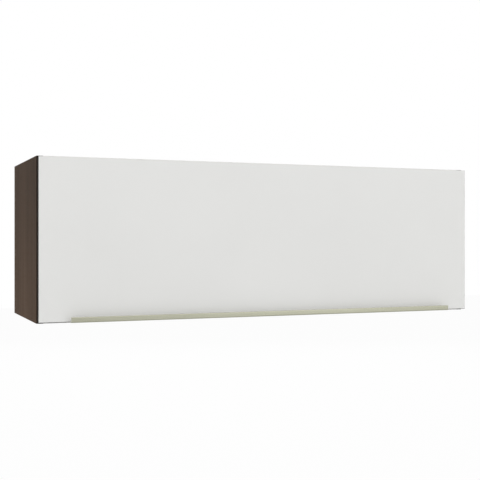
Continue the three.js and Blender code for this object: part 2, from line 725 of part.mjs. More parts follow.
// A rivet with two flat heads that hold a stack of plates between them.
function rivet(name, centre, from, to, inward) {
  const near = Math.min(inward * from, inward * to);
  const far = Math.max(inward * from, inward * to);
  const shank = rod(centre.x, centre.y, RIVET_RADIUS, near - RIVET_HEAD, far + RIVET_HEAD);
  const heads = [
    rod(centre.x, centre.y, RIVET_HEAD_RADIUS, near - RUNNING - RIVET_HEAD, near - RUNNING),
    rod(centre.x, centre.y, RIVET_HEAD_RADIUS, far + RUNNING, far + RUNNING + RIVET_HEAD),
  ];
  return piece(name, shaped([shank, ...heads]), steel);
}

// The bracket on the door's back: sheet folded into a screwed foot and an ear that holds the
// door pivot.
function doorBracket(name, inward) {
  const face = AXIS_INSET;
  const footTop = face + BRACKET_SHEET;
  const near = EAR_NEAR;
  const wide = EAR_FAR - BRACKET_SHEET + BRACKET_WIDTH;
  const low = DOOR_PIVOT.y - BRACKET_HEIGHT / 2;
  const high = DOOR_PIVOT.y + BRACKET_HEIGHT / 2;
  const tip = DOOR_PIVOT.x + LINK_END_RADIUS;
  const innerBend = BRACKET_BEND - BRACKET_SHEET;

  // The folded sheet seen from above, drawn for the left end and turned over for the right.
  const fold = new THREE.Shape();
  fold.moveTo(tip, near);
  fold.lineTo(tip, EAR_FAR);
  fold.lineTo(footTop + innerBend, EAR_FAR);
  fold.absarc(footTop + innerBend, EAR_FAR + innerBend, innerBend, 1.5 * Math.PI, Math.PI, true);
  fold.lineTo(footTop, wide);
  fold.lineTo(face, wide);
  fold.lineTo(face, near + BRACKET_BEND);
  fold.absarc(face + BRACKET_BEND, near + BRACKET_BEND, BRACKET_BEND, Math.PI, 1.5 * Math.PI);
  fold.closePath();
  const sheet = lyingSlab(fold, low, high);
  if (inward < 0) sheet.rotateX(Math.PI).translate(0, 2 * DOOR_PIVOT.y, 0);

  const cheek = new THREE.Shape();
  cheek.moveTo(face, low);
  cheek.lineTo(footTop + innerBend, low);
  cheek.lineTo(footTop + innerBend, DOOR_PIVOT.y - BRACKET_EAR_FOOT / 2);
  cheek.absarc(DOOR_PIVOT.x, DOOR_PIVOT.y, LINK_END_RADIUS, -Math.PI / 2, Math.PI / 2);
  cheek.lineTo(footTop + innerBend, DOOR_PIVOT.y + BRACKET_EAR_FOOT / 2);
  cheek.lineTo(footTop + innerBend, high);
  cheek.lineTo(face, high);
  cheek.closePath();
  const reach = wide + OVERSHOOT;
  const corner = wide - BRACKET_WIDTH - BRACKET_CORNER - OVERSHOOT;
  const foot = roundedRectangle(
    Math.min(inward * corner, inward * wide),
    low,
    Math.max(inward * corner, inward * wide),
    high,
    BRACKET_CORNER,
  );
  const blanks = [
    slab(cheek, 0, inward * reach),
    facingSlab(foot, face - OVERSHOOT, tip + OVERSHOOT),
  ];
  const drillAt = inward * (EAR_FAR + (BRACKET_WIDTH - BRACKET_SHEET) / 2);
  const tools = screwHoles(BRACKET_SHEET, true, (along) => [
    face + BRACKET_SHEET / 2,
    DOOR_PIVOT.y + along,
    drillAt,
  ]);
  tools.push(rod(DOOR_PIVOT.x, DOOR_PIVOT.y, RIVET_RADIUS + RUNNING, 0, inward * reach));
  return piece(name, shaped([sheet], tools, blanks), steel);
}

// inward is 1 at the left end and -1 at the right end.
function liftFitting(sideName, inward) {
  const group = section(-inward * INNER_END, HINGE_AXIS_Y, HINGE_AXIS_Z);
  const pin = rod(
    LEVER_PIVOT.x,
    LEVER_PIVOT.y,
    PIVOT_PIN_RADIUS,
    inward * BASE_PLATE,
    inward * HOUSING_FACE,
  );
  group.add(basePlate("lift_base_plate_" + sideName, inward));
  group.add(housing("lift_housing_" + sideName, inward));
  group.add(adjuster("lift_adjuster_" + sideName, inward));
  group.add(housingCover("lift_cover_" + sideName, inward));
  group.add(piece("lift_pivot_pin_" + sideName, pin, steel));
  group.add(lever("lift_lever_" + sideName, inward));
  group.add(rivet("lift_knee_rivet_" + sideName, KNEE_PIVOT, LEVER_NEAR, LINK_FAR, inward));
  group.add(link("lift_link_" + sideName, inward));
  group.add(doorBracket("lift_door_bracket_" + sideName, inward));
  group.add(rivet("lift_door_rivet_" + sideName, DOOR_PIVOT, LINK_NEAR, EAR_FAR, inward));
  return group;
}

// ---- Handle ----
// Drawn in a section round the door's lower front edge.

function handleScrewPlaces() {
  const first = -HANDLE_LENGTH / 2 + HANDLE_SCREW_END;
  const step = (-2 * first) / (HANDLE_SCREW_COUNT - 1);
  return Array.from({ length: HANDLE_SCREW_COUNT }, (_, i) => first + i * step);
}

// A countersunk screw standing on its head, grown all round by a clearance.
function screwBody(clearance) {
  const profile = [
    new THREE.Vector2(0, -HANDLE_WALL - clearance),
    new THREE.Vector2(HANDLE_SCREW_HEAD + clearance, -HANDLE_WALL - clearance),
    new THREE.Vector2(HANDLE_SCREW_HEAD + clearance, -HANDLE_WALL),
    new THREE.Vector2(HANDLE_SCREW_RADIUS + clearance, 0),
    new THREE.Vector2(HANDLE_SCREW_RADIUS + clearance, HANDLE_SCREW_LENGTH + clearance),
    new THREE.Vector2(0, HANDLE_SCREW_LENGTH + clearance),
  ];
  if (clearance === 0) profile.splice(1, 1);
  return new THREE.LatheGeometry(profile, ROUND_STEPS / 2);
}

function handleProfile() {
  const nose = -HANDLE_REACH;
  const inside = nose + HANDLE_WALL;
  const innerBend = HANDLE_BEND - HANDLE_WALL;
  const bead = HANDLE_BEAD / 2;
  const outline = new THREE.Shape();
  outline.moveTo(HANDLE_FOOT, -HANDLE_WALL);
  outline.lineTo(HANDLE_FOOT, 0);
  outline.lineTo(inside + innerBend, 0);
  outline.absarc(inside + innerBend, innerBend, innerBend, -Math.PI / 2, Math.PI, true);
  outline.lineTo(inside, HANDLE_RISE - HANDLE_BEAD);
  outline.absarc(nose + bead, HANDLE_RISE - bead, bead, -Math.PI / 4, Math.PI);
  outline.lineTo(nose, HANDLE_BEND - HANDLE_WALL);
  outline.absarc(
    nose + HANDLE_BEND,
    HANDLE_BEND - HANDLE_WALL,
    HANDLE_BEND,
    Math.PI,
    1.5 * Math.PI,
  );
  outline.closePath();
  return outline;
}

function handle() {
  const group = section(0, DOOR_FRONT, HANDLE_SEAT);
  const tools = [];
  handleScrewPlaces().forEach((x, i) => {
    const hole = screwBody(RUNNING);
    hole.translate(DOOR_THICKNESS / 2, 0, x);
    tools.push(hole);
    const screw = piece("handle_screw_" + (i + 1), screwBody(0), steel);
    screw.position.set(DOOR_THICKNESS / 2, 0, x);
    group.add(screw);
  });
  const lip = slab(handleProfile(), -HANDLE_LENGTH / 2, HANDLE_LENGTH / 2);
  group.add(piece("handle_lip", shaped([lip], tools), champagne));
  return group;
}

// ---- Door ----

// What is cut from the door: a rebate for each hinge, a pilot hole for each handle screw and
// the handle's foot, which takes the place of the lower edge band.
function doorTools() {
  const tools = [];
  const half = HINGE_LENGTH / 2 + RUNNING;
  const room = KNUCKLE_RADIUS + KNUCKLE_ROOM;
  const leafFloor = HINGE_AXIS_Y + AXIS_INSET - LEAF_SUNK - HINGE_SHEET;
  for (const x of hingePlaces()) {
    tools.push(
      box(
        [x - half, HINGE_AXIS_Y - room, HINGE_AXIS_Z - room],
        [x + half, DOOR_BACK + OVERSHOOT, DOOR_TOP + OVERSHOOT],
      ),
      box(
        [x - half, leafFloor, HINGE_AXIS_Z - DOOR_LEAF_LENGTH - RUNNING],
        [x + half, DOOR_BACK + OVERSHOOT, HINGE_AXIS_Z],
      ),
    );
  }
  for (const x of handleScrewPlaces()) {
    const pilot = screwBody(RUNNING);
    pilot.rotateX(Math.PI / 2);
    pilot.translate(x, DOOR_FRONT + DOOR_THICKNESS / 2, HANDLE_SEAT);
    tools.push(pilot);
  }
  const footEnd = HANDLE_LENGTH / 2 + HANDLE_FOOT_ROOM;
  tools.push(
    box(
      [-footEnd, DOOR_FRONT - OVERSHOOT, DOOR_BOTTOM - OVERSHOOT],
      [footEnd, DOOR_FRONT + HANDLE_FOOT + HANDLE_FOOT_ROOM, HANDLE_SEAT],
    ),
  );
  return tools;
}

// A soft dome, flat on the door's back, that fills the gap to the side panel's front edge.
function bufferDome() {
  const crown = new THREE.EllipseCurve(
    BUFFER_CROWN,
    BUFFER_SKIRT,
    BUFFER_RADIUS - BUFFER_CROWN,
    DOOR_GAP - BUFFER_SKIRT,
    0,
    Math.PI / 2,
  );
  const profile = [
    new THREE.Vector2(0, 0),
    new THREE.Vector2(BUFFER_RADIUS, 0),
    ...crown.getPoints(ARC_STEPS),
    new THREE.Vector2(0, DOOR_GAP),
  ];
  return new THREE.LatheGeometry(profile, BORE_STEPS);
}

function door() {
  const group = new THREE.Group();
  const tools = doorTools();
  const end = DOOR_WIDTH / 2;
  const core = end - EDGE_BAND;
  const coreTop = DOOR_TOP - EDGE_BAND;
  const panels = [
    ["door_panel", -core, core, HANDLE_SEAT, coreTop, doorWhite],
    ["door_edge_top", -core, core, coreTop, DOOR_TOP, darkBand],
    ["door_edge_bottom", -core, core, DOOR_BOTTOM, HANDLE_SEAT, darkBand],
    ["door_edge_left", -end, -core, DOOR_BOTTOM, DOOR_TOP, darkBand],
    ["door_edge_right", core, end, DOOR_BOTTOM, DOOR_TOP, darkBand],
  ];
  for (const [name, xLow, xHigh, zLow, zHigh, material] of panels) {
    const blank = box([xLow, DOOR_FRONT, zLow], [xHigh, DOOR_BACK, zHigh]);
    group.add(piece(name, shaped([blank], tools), material));
  }
  for (const [name, side] of [["door_buffer_left", -1], ["door_buffer_right", 1]]) {
    const buffer = piece(name, bufferDome(), rubber);
    buffer.position.set(side * (CABINET_END - BOARD / 2), DOOR_BACK, CABINET_BOTTOM + BUFFER_RISE);
    group.add(buffer);
  }
  return group;
}

// ---- The cabinet ----

const cabinet = new THREE.Group();
cabinet.name = "lift_up_wall_cabinet";
cabinet.add(boards());
cabinet.add(hinges());
cabinet.add(liftFitting("left", 1));
cabinet.add(liftFitting("right", -1));
cabinet.add(door());
cabinet.add(handle());

export default cabinet;
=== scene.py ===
"""Looks of a wall cabinet whose one wide door lifts up.

Metres, +Z up. The front faces -Y and +X runs to the right, seen from the front.
"""

import json
import math

import bmesh
import bpy
from mathutils import Matrix, Vector


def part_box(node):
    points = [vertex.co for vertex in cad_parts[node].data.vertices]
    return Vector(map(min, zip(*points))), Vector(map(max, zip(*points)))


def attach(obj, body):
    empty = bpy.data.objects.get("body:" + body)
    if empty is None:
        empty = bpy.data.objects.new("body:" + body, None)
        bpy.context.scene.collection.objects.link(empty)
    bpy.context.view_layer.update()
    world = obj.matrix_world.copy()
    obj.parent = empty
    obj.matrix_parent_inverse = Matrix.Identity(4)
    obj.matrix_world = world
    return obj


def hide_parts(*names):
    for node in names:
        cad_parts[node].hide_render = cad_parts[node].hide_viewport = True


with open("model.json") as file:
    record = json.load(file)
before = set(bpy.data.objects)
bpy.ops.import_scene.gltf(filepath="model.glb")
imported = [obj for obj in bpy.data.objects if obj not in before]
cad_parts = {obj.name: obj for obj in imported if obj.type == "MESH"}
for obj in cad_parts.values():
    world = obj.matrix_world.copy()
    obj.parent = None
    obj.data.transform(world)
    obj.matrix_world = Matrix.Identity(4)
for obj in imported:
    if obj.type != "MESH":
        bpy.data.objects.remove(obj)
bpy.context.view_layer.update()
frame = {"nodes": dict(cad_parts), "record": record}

MM = 0.001

BODY_OF = {
    node: body
    for body, nodes in frame["record"]["behaviour"]["bodies"].items()
    for node in nodes
}
SLOT_OF = {part["node"]: part["material_slot"] for part in frame["record"]["subparts"]}

# Places that the frame gives
BOARD_LOW, BOARD_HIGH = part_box("side_panel_left")
TOP_LOW, TOP_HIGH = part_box("top_panel")
BOTTOM_LOW, BOTTOM_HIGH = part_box("bottom_panel")
BACK_LOW, BACK_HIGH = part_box("back_panel")
DOOR_LOW, DOOR_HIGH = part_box("door_panel")
CABINET_END = -BOARD_LOW.x
INNER_END = -BOARD_HIGH.x

# The photographer's stand: level, at the cabinet's middle height, to the left of it
CAMERA_PLACE = (-0.9656, -2.5184, -0.14325)
CAMERA_TURN = math.radians(-22.178)
LENS = 68.26
SENSOR = 36

# Room
FLOOR_DROP = 1.45  # below the cabinet, as it hangs on a wall
FLOOR_SIZE = 40
FLOOR_GLOW = 0.97  # share of plain white that the camera sees over the floor's own shading
AMBIENT = 0.18  # strength of the room's even light
LAMP_SIZE = 11


# ---- Finishes ----


def paint(red, green, blue):
    """The linear colour of one written from 0 to 255."""
    channels = [((part / 255 + 0.055) / 1.055) ** 2.4 for part in (red, green, blue)]
    return (*channels, 1.0)


class Value:
    """A node's output. Arithmetic on it adds Math nodes."""

    def __init__(self, shading, socket):
        self.shading = shading
        self.socket = socket

    def math(self, operation, *operands):
        settings = {"operation": operation}
        return self.shading.node("Math", settings, dict(enumerate(operands)))["Value"]

    def __add__(self, other):
        return self.math("ADD", self, other)

    def __radd__(self, other):
        return self.math("ADD", other, self)

    def __sub__(self, other):
        return self.math("SUBTRACT", self, other)

    def __rsub__(self, other):
        return self.math("SUBTRACT", other, self)

    def __mul__(self, other):
        return self.math("MULTIPLY", self, other)

    def __rmul__(self, other):
        return self.math("MULTIPLY", other, self)

    def __gt__(self, other):
        return self.math("GREATER_THAN", self, other)

    def __lt__(self, other):
        return self.math("LESS_THAN", self, other)

    def __abs__(self):
        return self.math("ABSOLUTE", self)

    def smaller(self, other):
        return self.math("MINIMUM", self, other)

    def rising(self, low, high):
        """0 below low, 1 above high and a smooth rise between them."""
        settings = {"interpolation_type": "SMOOTHSTEP"}
        sockets = {"Value": self, "From Min": low, "From Max": high}
        return self.shading.node("MapRange", settings, sockets)["Result"]


class Outputs:
    """The outputs of one node, by name or by number."""

    def __init__(self, shading, node):
        self.shading = shading
        self.node = node

    def __getitem__(self, name):
        return Value(self.shading, self.node.outputs[name])


class Shading:
    """The nodes of a material or of the world."""

    def __init__(self, tree):
        self.tree = tree

    def node(self, kind, settings, sockets):
        node = self.tree.nodes.new("ShaderNode" + kind)
        for name, value in settings.items():
            setattr(node, name, value)
        for name, value in sockets.items():
            self.give(node.inputs[name], value)
        return Outputs(self, node)

    def give(self, socket, value):
        if isinstance(value, Value):
            self.tree.links.new(value.socket, socket)
        else:
            socket.default_value = value

    def show(self, end, surface):
        """Ends the nodes in that surface."""
        self.give(self.tree.nodes[end].inputs["Surface"], surface)

    def on_rays(self, *kinds):
        """1 on rays of those kinds and 0 on all others."""
        path = self.node("LightPath", {}, {})
        return sum(path[f"Is {kind} Ray"] for kind in kinds)


class Finish(Shading):
    """A procedural material that ends in one Principled shader."""

    def __init__(self, name, constants):
        self.material = bpy.data.materials.new(name)
        self.material.use_nodes = True
        super().__init__(self.material.node_tree)
        self.shader = self.tree.nodes["Principled BSDF"]
        for socket, value in constants.items():
            self.shader.inputs[socket].default_value = value
        self.point = self.node("TexCoord", {}, {})["Object"]
        axes = self.node("SeparateXYZ", {}, {"Vector": self.point})
        self.x, self.y, self.z = axes["X"], axes["Y"], axes["Z"]

    def set(self, socket, value):
        self.give(self.shader.inputs[socket], value)

    def stretched(self, per_metre):
        """The point, scaled along each axis, for a pattern with that many features a metre."""
        sockets = {0: self.point, 1: per_metre}
        return self.node("VectorMath", {"operation": "MULTIPLY"}, sockets)["Vector"]

    def noise(self, per_metre, detail=2.0, rough=0.5):
        sockets = {
            "Vector": self.stretched(per_metre),
            "Scale": 1.0,
            "Detail": detail,
            "Roughness": rough,
        }
        return self.node("TexNoise", {}, sockets)["Fac"]

    def mix(self, share, first, second):
        return self.node("Mix", {"data_type": "RGBA"}, {0: share, 6: first, 7: second})[2]

    def bump(self, height, depth, strength=1.0):
        """Raises the surface where height is 1, by depth in metres."""
        sockets = {"Height": height, "Distance": depth, "Strength": strength}
        self.set("Normal", self.node("Bump", {}, sockets)["Normal"])


def even(size):
    """The same number of features a metre along every axis, from their size in metres."""
    return (1 / size,) * 3


def chips(finish, size):
    """The colour and the height of particle board: glued chips of about that size."""
    drift = finish.node(
        "TexNoise", {}, {"Vector": finish.stretched(even(2 * size)), "Scale": 1.0}
    )["Color"]
    bent = finish.node(
        "VectorMath",
        {"operation": "MULTIPLY_ADD"},
        {0: drift, 1: (1.4,) * 3, 2: finish.stretched(even(size))},
    )["Vector"]
    cells = finish.node("TexVoronoi", {}, {"Vector": bent, "Scale": 1.0})
    tone = finish.node("SeparateColor", {}, {"Color": cells["Color"]})["Red"]
    fibre = finish.noise(even(size / 4), detail=3.0)
    share = 0.75 * tone + 0.25 * fibre
    colour = finish.mix(share.rising(0.1, 0.9), paint(150, 114, 74), paint(214, 186, 142))
    gaps = cells["Distance"].rising(0.45, 0.8)
    return finish.mix(gaps, colour, paint(104, 74, 46)), 1.0 - gaps * 0.8


LAMINATE = 0.3 * MM  # decor paper on either face of a board
SKIN = 0.2 * MM  # how deep a sawn face reaches, past its rounded edges
CHIP = 2.6 * MM


def sawn_core(finish, depths):
    """1 on the sawn rear end of a board, between its two papers."""
    inside = depths > LAMINATE
    return inside * (finish.y > -SKIN)


FOOT_PAINTED_LIGHT = 1.24  # painted light: how much brighter the decor is made at the board's lower end
TOP_PAINTED_SHADE = 0.8  # painted shade: how much darker the decor is made at its upper end


def dark_wood(name, dark, light, sawn):
    """Printed wood decor, grained upright, with painted light and shade: brighter toward the
    board's foot and darker toward its top.
    """
    wood = Finish(name, {"Specular IOR Level": 0.03})
    band = wood.noise((16, 16, 0.8))
    streak = wood.noise((210, 210, 2.6), detail=4.0, rough=0.6)
    fibre = wood.noise((1300, 1300, 16), detail=3.0, rough=0.6)
    pore = wood.noise((2600, 2600, 70), detail=1.0) > 0.66
    tone = (0.3 * band + 0.4 * streak + 0.3 * fibre).rising(0.3, 0.7)
    colour = wood.mix(tone, dark, light)
    colour = wood.mix(pore * 0.55, colour, paint(42, 32, 25))
    # painted light and shade: scales the decor's colour brighter toward the board's foot and darker
    # toward its top
    depth = FOOT_PAINTED_LIGHT - (FOOT_PAINTED_LIGHT - TOP_PAINTED_SHADE) * wood.z.rising(BOARD_LOW.z, BOARD_HIGH.z)
    colour = wood.node("VectorMath", {"operation": "SCALE"}, {0: colour, "Scale": depth})["Vector"]
    height = fibre * 0.5 - pore * 0.5
    rough = 0.62 + 0.16 * fibre
    if sawn:
        chip_colour, chip_height = chips(wood, CHIP)
        depths = (CABINET_END - abs(wood.x)).smaller(abs(wood.x) - INNER_END)
        core = sawn_core(wood, depths)
        colour = wood.mix(core, colour, chip_colour)
        height = height * (1 - core) + chip_height * core * 3
        rough = rough + core * 0.3
    wood.set("Base Color", colour)
    wood.set("Roughness", rough)
    wood.bump(height, 0.06 * MM)
    return wood.material


def white_board():
    """White melamine with a fine pearl; the rear ends are sawn."""
    board = Finish("white_melamine", {"Specular IOR Level": 0.4})
    pearl = board.noise(even(1.1 * MM))
    cloud = board.noise(even(140 * MM))
    colour = board.mix(cloud, paint(228, 227, 222), paint(233, 232, 228))
    top = abs(board.z - (TOP_LOW.z + TOP_HIGH.z) / 2)
    bottom = abs(board.z - (BOTTOM_LOW.z + BOTTOM_HIGH.z) / 2)
    depths = (TOP_HIGH.z - TOP_LOW.z) / 2 - top.smaller(bottom)
    core = sawn_core(board, depths)
    chip_colour, chip_height = chips(board, CHIP)
    board.set("Base Color", board.mix(core, colour, chip_colour))
    board.set("Roughness", 0.46 + 0.08 * pearl + core * 0.35)
    board.bump(pearl * (1 - core) * 0.35 + chip_height * core * 3, 0.05 * MM)
    return board.material


def back_board():
    """Thin fibre board, white on the inside and brown behind."""
    board = Finish("back_fibre_board", {"Specular IOR Level": 0.35})
    brown = board.y > (BACK_LOW.y + BACK_HIGH.y) / 2
    felt = board.noise(even(0.8 * MM), detail=4.0, rough=0.7)
    fleck = board.noise((420, 420, 160), detail=3.0, rough=0.7)
    hide = board.mix(
        (0.5 * felt + 0.5 * fleck).rising(0.3, 0.7), paint(124, 88, 58), paint(158, 119, 82)
    )
    cloud = board.noise(even(160 * MM))
    white = board.mix(cloud, paint(226, 225, 220), paint(231, 230, 226))
    board.set("Base Color", board.mix(brown, white, hide))
    board.set("Roughness", 0.5 + 0.3 * brown)
    board.bump(felt * (0.15 + brown * 0.85), 0.06 * MM)
    return board.material


def bare_board():
    """Particle board: fine chips on its two wide faces and coarse ones in its edges."""
    board = Finish("bare_particle_board", {"Specular IOR Level": 0.25})
    fine_colour, fine_height = chips(board, 1.2 * MM)
    coarse_colour, coarse_height = chips(board, CHIP)
    flat = (board.y > -SKIN) + (board.y < BACK_HIGH.y + SKIN)
    board.set("Base Color", board.mix(flat, coarse_colour, fine_colour))
    board.set("Roughness", 0.82)
    board.bump(fine_height * flat * 0.3 + coarse_height * (1 - flat), 0.15 * MM)
    return board.material


def door_white():
    """Smooth foil with a silk sheen and the faintest waviness of the board under it."""
    door = Finish("silk_white_foil", {"Specular IOR Level": 0.4})
    wave = door.noise(even(35 * MM), detail=1.0)
    grain = door.noise(even(0.9 * MM))
    cloud = door.noise(even(260 * MM))
    door.set("Base Color", door.mix(cloud, paint(221, 221, 219), paint(226, 226, 224)))
    door.set("Roughness", 0.4 + 0.07 * grain)
    door.bump(wave * 0.5 + grain * 0.1, 0.03 * MM)
    return door.material


FOIL = 0.25 * MM  # the door's white front lies over its edge bands, except the lower one
FOIL_REACH = 0.65 * MM  # how far it reaches over the bands at the door's two ends


def dark_band(name, rub):
    """A plastic edge band with a fine embossed grain, a little paler where hands rub it."""
    band = Finish(name, {"Specular IOR Level": 0.05})
    grain = band.noise(even(0.7 * MM), detail=3.0)
    streak = band.noise((60, 900, 60))
    worn = band.noise(even(45 * MM), detail=3.0).rising(0.55, 0.8) * rub
    colour = band.mix(0.5 * grain + 0.5 * streak, paint(26, 21, 18), paint(38, 32, 27))
    colour = band.mix(worn, colour, paint(58, 50, 43))
    front = (band.y < DOOR_LOW.y + FOIL) * (band.z > DOOR_LOW.z)
    foil = front * (abs(band.x) < DOOR_HIGH.x + FOIL_REACH)
    band.set("Base Color", band.mix(foil, colour, paint(223, 223, 221)))
    band.set("Roughness", 0.6 + 0.14 * grain - foil * 0.2)
    band.bump(grain * (1 - foil), 0.03 * MM)
    return band.material


def anodised():
    """Champagne aluminium, drawn along x: long die lines under a satin oxide."""
    metal = Finish("champagne_anodised", {"Metallic": 1.0})
    line = metal.noise((3, 1500, 1500), detail=3.0, rough=0.6)
    hair = metal.noise((25, 5200, 5200))
    cloud = metal.noise((9, 60, 60))
    tone = (0.5 * line + 0.3 * hair + 0.2 * cloud).rising(0.3, 0.7)
    metal.set("Base Color", metal.mix(tone, paint(148, 148, 131), paint(163, 163, 147)))
    metal.set("Roughness", 0.24 + 0.1 * hair)
    metal.bump(line * 0.6 + hair * 0.4, 0.015 * MM)
    return metal.material


def nickel(name, light, dark, streaks):
    """Plated steel, rolled along the given number of streaks a metre, with a few scratches."""
    steel = Finish(name, {"Metallic": 1.0})
    rolled = steel.noise(streaks, detail=3.0, rough=0.6)
    cloud = steel.noise(even(7 * MM), detail=3.0)
    scratch = steel.noise((900, 90, 1400), detail=1.0) > 0.7
    steel.set("Base Color", steel.mix(0.6 * rolled + 0.4 * cloud, dark, light))
    steel.set("Roughness", 0.27 + 0.12 * cloud + 0.08 * rolled + scratch * 0.1)
    steel.bump(rolled * 0.5 - scratch * 0.5, 0.012 * MM)
    return steel.material


def cast_zinc():
    """Cloudy grey metal with the matt skin of its mould."""
    zinc = Finish("cast_zinc", {"Metallic": 0.9})
    skin = zinc.noise(even(0.5 * MM), detail=4.0, rough=0.65)
    cloud = zinc.noise(even(6 * MM))
    zinc.set("Base Color", zinc.mix(cloud, paint(150, 151, 153), paint(176, 177, 178)))
    zinc.set("Roughness", 0.42 + 0.2 * skin)
    zinc.bump(skin, 0.04 * MM)
    return zinc.material


def moulded(name, dark, light, spark):
    """Moulded plastic with a spark-eroded texture of that grain."""
    plastic = Finish(name, {"Specular IOR Level": 0.45})
    erosion = plastic.noise(even(spark), detail=3.0, rough=0.7)
    flow = plastic.noise(even(18 * MM))
    plastic.set("Base Color", plastic.mix(0.6 * flow + 0.4 * erosion, dark, light))
    plastic.set("Roughness", 0.45 + 0.15 * erosion)
    plastic.bump(erosion, 0.04 * MM)
    return plastic.material


def milky_rubber():
    """Soft clear plastic with a haze in it."""
    constants = {"Transmission Weight": 0.35, "IOR": 1.48, "Specular IOR Level": 0.5}
    rubber = Finish("milky_rubber", constants)
    haze = rubber.noise(even(2 * MM))
    rubber.set("Base Color", rubber.mix(haze, paint(214, 214, 206), paint(232, 232, 226)))
    rubber.set("Roughness", 0.3 + 0.15 * haze)
    rubber.bump(haze, 0.02 * MM)
    return rubber.material


BRIGHT = (paint(205, 205, 202), paint(178, 178, 176))
FINISH = {
    "dark_wood_board": dark_wood("dark_wood_decor", paint(70, 55, 43), paint(102, 83, 68), True),
    # the side panels' front edges: real wood decor, with painted shade that makes it far darker
    # than the board, standing in for shade in the recess beside the door
    "dark_wood_edge": dark_wood("dark_wood_edge", paint(36, 30, 25), paint(58, 49, 41), False),
    "white_board": white_board(),
    "back_board": back_board(),
    "raw_board": bare_board(),
    "white_door": door_white(),
    "dark_edge_band": dark_band("dark_edge_band", rub=0.25),
    "champagne_aluminium": anodised(),
    "bright_steel": nickel("nickel_plated", *BRIGHT, (60, 60, 2400)),
    "screw_steel": nickel("zinc_plated", paint(196, 197, 200), paint(166, 168, 172), (900,) * 3),
    "cast_zinc": cast_zinc(),
    "grey_housing": moulded("grey_housing", paint(126, 128, 131), paint(146, 148, 151), 0.4 * MM),
    "cover_plastic": moulded("cover_plastic", paint(196, 197, 198), paint(206, 207, 208), 0.5 * MM),
    "clear_rubber": milky_rubber(),
}


# ---- Modelling ----


MERGE = 0.002 * MM  # corners of a solid nearer than this are one
SAME_PLANE = math.radians(0.5)  # triangles that turn less than this are one face
SMOOTH_TURN = math.radians(42)  # faces that turn less than this shade as one


def only(piece):
    """Selects one piece and nothing else."""
    bpy.ops.object.select_all(action="DESELECT")
    piece.select_set(True)
    bpy.context.view_layer.objects.active = piece


class Editing:
    """Edit mode on one piece, with nothing selected at the start."""

    def __init__(self, piece):
        self.piece = piece

    def __enter__(self):
        only(self.piece)
        bpy.ops.object.mode_set(mode="EDIT")
        bpy.ops.mesh.select_all(action="DESELECT")
        return self

    def __exit__(self, *failure):
        bpy.ops.object.mode_set(mode="OBJECT")

    def faces(self, wanted):
        """Selects the faces whose middle and normal are wanted."""
        bpy.ops.mesh.select_mode(type="FACE")
        mesh = bmesh.from_edit_mesh(self.piece.data)
        for face in mesh.faces:
            face.select_set(bool(wanted(face.calc_center_median(), face.normal)))
        bmesh.update_edit_mesh(self.piece.data)

    def edges(self, wanted):
        """Selects the edges whose two ends are both wanted."""
        bpy.ops.mesh.select_mode(type="EDGE")
        mesh = bmesh.from_edit_mesh(self.piece.data)
        for edge in mesh.edges:
            edge.select_set(all(wanted(end.co) for end in edge.verts))
        bmesh.update_edit_mesh(self.piece.data)


def settle(piece):
    """Puts the piece's place into its mesh."""
    only(piece)
    bpy.ops.object.transform_apply(location=True, rotation=True, scale=True)
    return piece


def apply(piece, kind, **settings):
    """Adds a modifier with those settings and makes its shape the piece's own."""
    only(piece)
    modifier = piece.modifiers.new(kind.title(), kind)
    for name, value in settings.items():
        setattr(modifier, name, value)
    bpy.ops.object.modifier_apply(modifier=modifier.name)


def shaded(piece):
    """Smooth over its rounded edges, flat on its faces."""
    only(piece)
    bpy.ops.object.shade_smooth_by_angle(angle=SMOOTH_TURN)
    apply(piece, "WEIGHTED_NORMAL", keep_sharp=True, weight=80)
    return piece


def rounded(piece, width, segments=2, angle=30):
    """Takes the sharpness off every edge."""
    apply(
        piece,
        "BEVEL",
        width=width,
        segments=segments,
        limit_method="ANGLE",
        angle_limit=math.radians(angle),
        use_clamp_overlap=True,
    )
    return piece


def block(name, low, high):
    """A block from its low corner to its high corner, to be shaped further."""
    bpy.ops.object.select_all(action="DESELECT")
    low, high = Vector(low), Vector(high)
    bpy.ops.mesh.primitive_cube_add(size=1, location=(low + high) / 2, scale=high - low)
    piece = bpy.context.object
    piece.name = name
    return settle(piece)


def copied(node):
    """The solid of a node as a piece of its own, its loose triangles merged into faces."""
    piece = bpy.data.objects.new(node + "_finished", frame["nodes"][node].data.copy())
    bpy.context.scene.collection.objects.link(piece)
    with Editing(piece):
        bpy.ops.mesh.select_all(action="SELECT")
        bpy.ops.mesh.remove_doubles(threshold=MERGE)
        bpy.ops.mesh.dissolve_limited(angle_limit=SAME_PLANE)
    return piece


def finished(piece, material):
    """Gives the piece that finish alone."""
    piece.data.materials.clear()
    piece.data.materials.append(FINISH[material])
    return piece


def stands_for(piece, node, material=None):
    """The piece takes the node's place, on its body and in its finish."""
    finished(shaded(piece), material or SLOT_OF[node])
    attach(piece, BODY_OF[node])
    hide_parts(node)
    return piece


# ---- Boards ----


SAWN_EDGE = 0.15 * MM  # how far the corners of a laminated board are broken
RAIL_EDGE = 0.4 * MM
SCRAPED = 0.7 * MM  # how far the front corners of a board's edge band are rounded
CAM_EDGE = 0.3 * MM
FACING = 0.9  # a face faces a way when its normal lies along it by more than this


def carcass():
    for node in ("side_panel_left", "side_panel_right", "top_panel", "bottom_panel"):
        stands_for(rounded(copied(node), SAWN_EDGE, segments=1), node)
    for node in ("hanging_rail_upper", "hanging_rail_lower"):
        stands_for(rounded(copied(node), RAIL_EDGE), node)
    stands_for(copied("back_panel"), "back_panel", "back_board")


